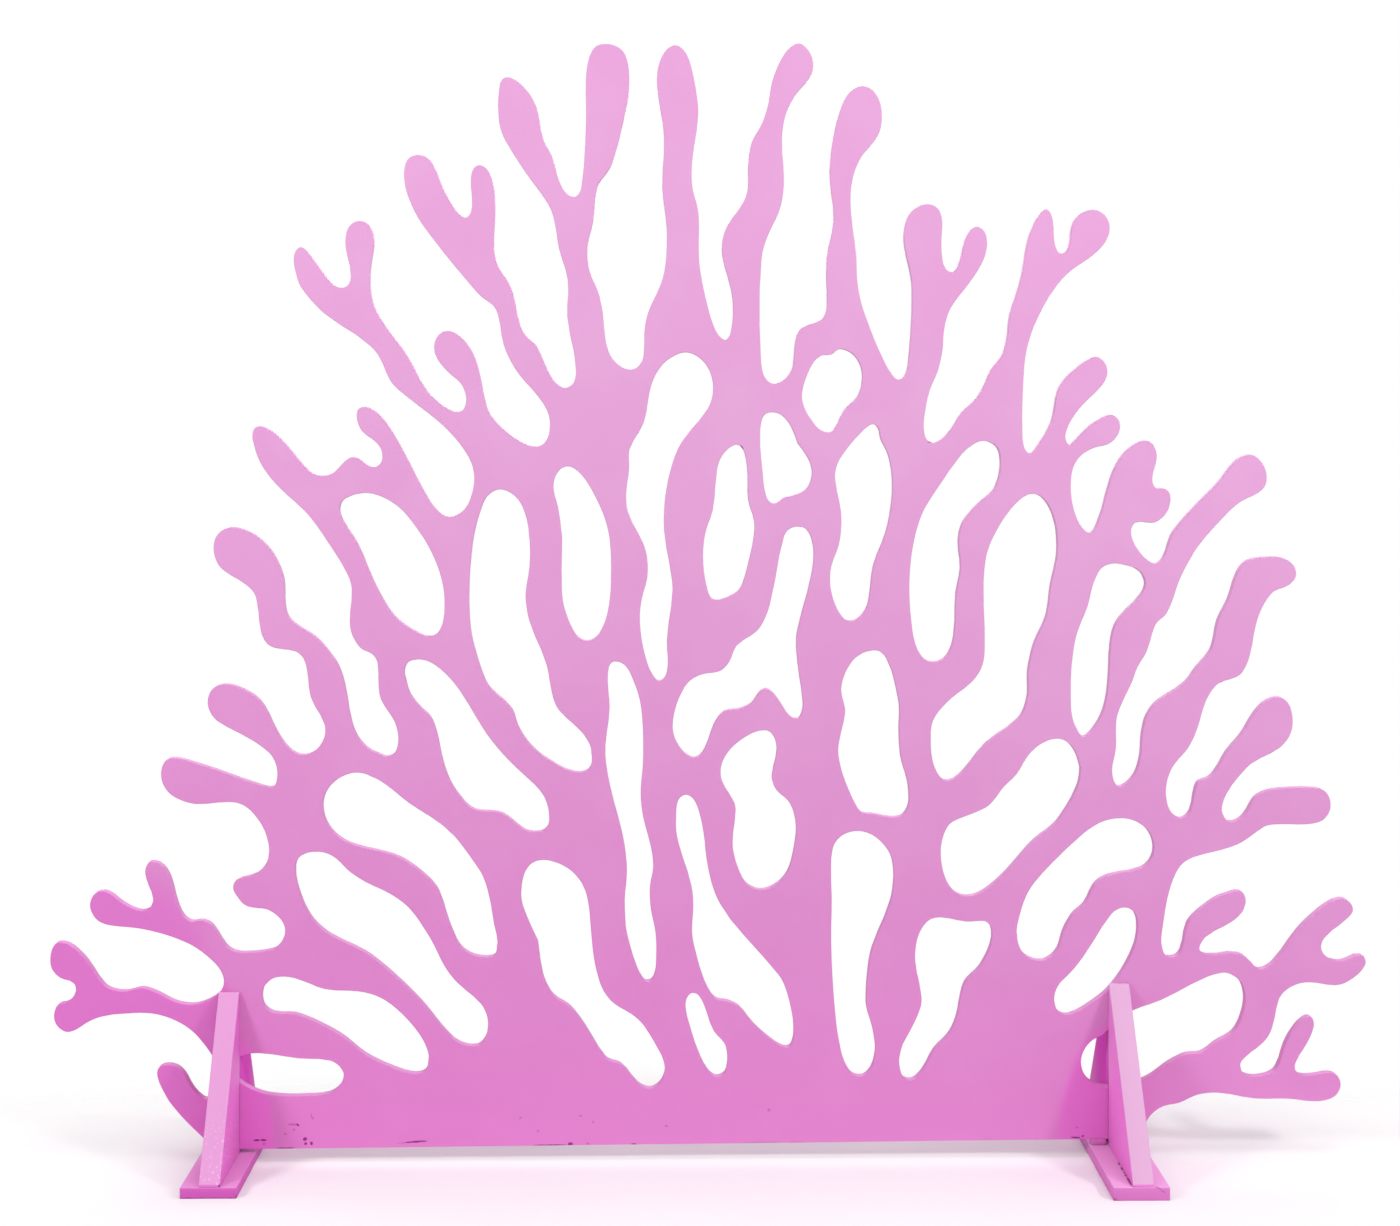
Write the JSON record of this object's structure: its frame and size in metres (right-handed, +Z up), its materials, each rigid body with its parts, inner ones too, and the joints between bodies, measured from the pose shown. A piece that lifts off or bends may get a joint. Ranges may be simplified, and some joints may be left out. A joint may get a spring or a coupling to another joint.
{
  "type": "freestanding sea fan cut-out",
  "caption": "Flat sea fan silhouette sawn from one painted board with rounded openings, held upright by triangular braces on flat feet.",
  "frame": {"origin": "on the floor, under the middle of the overall width, on the fan board's middle plane", "axes": "+X to the right as the front is seen, the front faces -Y, +Z up"},
  "size_m": [2.4398, 0.434, 2.071],
  "materials": {
    "fan_paint": "satin pink paint on a wooden sheet",
    "foot_paint": "satin pink paint on board",
    "brace_paint": "satin pink paint on board"
  },
  "bodies": {
    "root": {"fan_root": "fan_paint", "fan_lower_left": "fan_paint", "fan_left": "fan_paint", "fan_upper_left": "fan_paint", "fan_middle_left": "fan_paint", "fan_centre_left": "fan_paint", "fan_centre": "fan_paint", "fan_centre_right": "fan_paint", "fan_right": "fan_paint", "fan_middle_right": "fan_paint", "fan_upper_right": "fan_paint", "fan_top_right": "fan_paint", "fan_far_upper_right": "fan_paint", "fan_outer_right": "fan_paint", "fan_lower_right": "fan_paint", "foot_left": "foot_paint", "brace_left_front": "brace_paint", "brace_left_rear": "brace_paint", "foot_right": "foot_paint", "brace_right_front": "brace_paint", "brace_right_rear": "brace_paint", "packer_right": "foot_paint"}
  },
  "joints": []
}
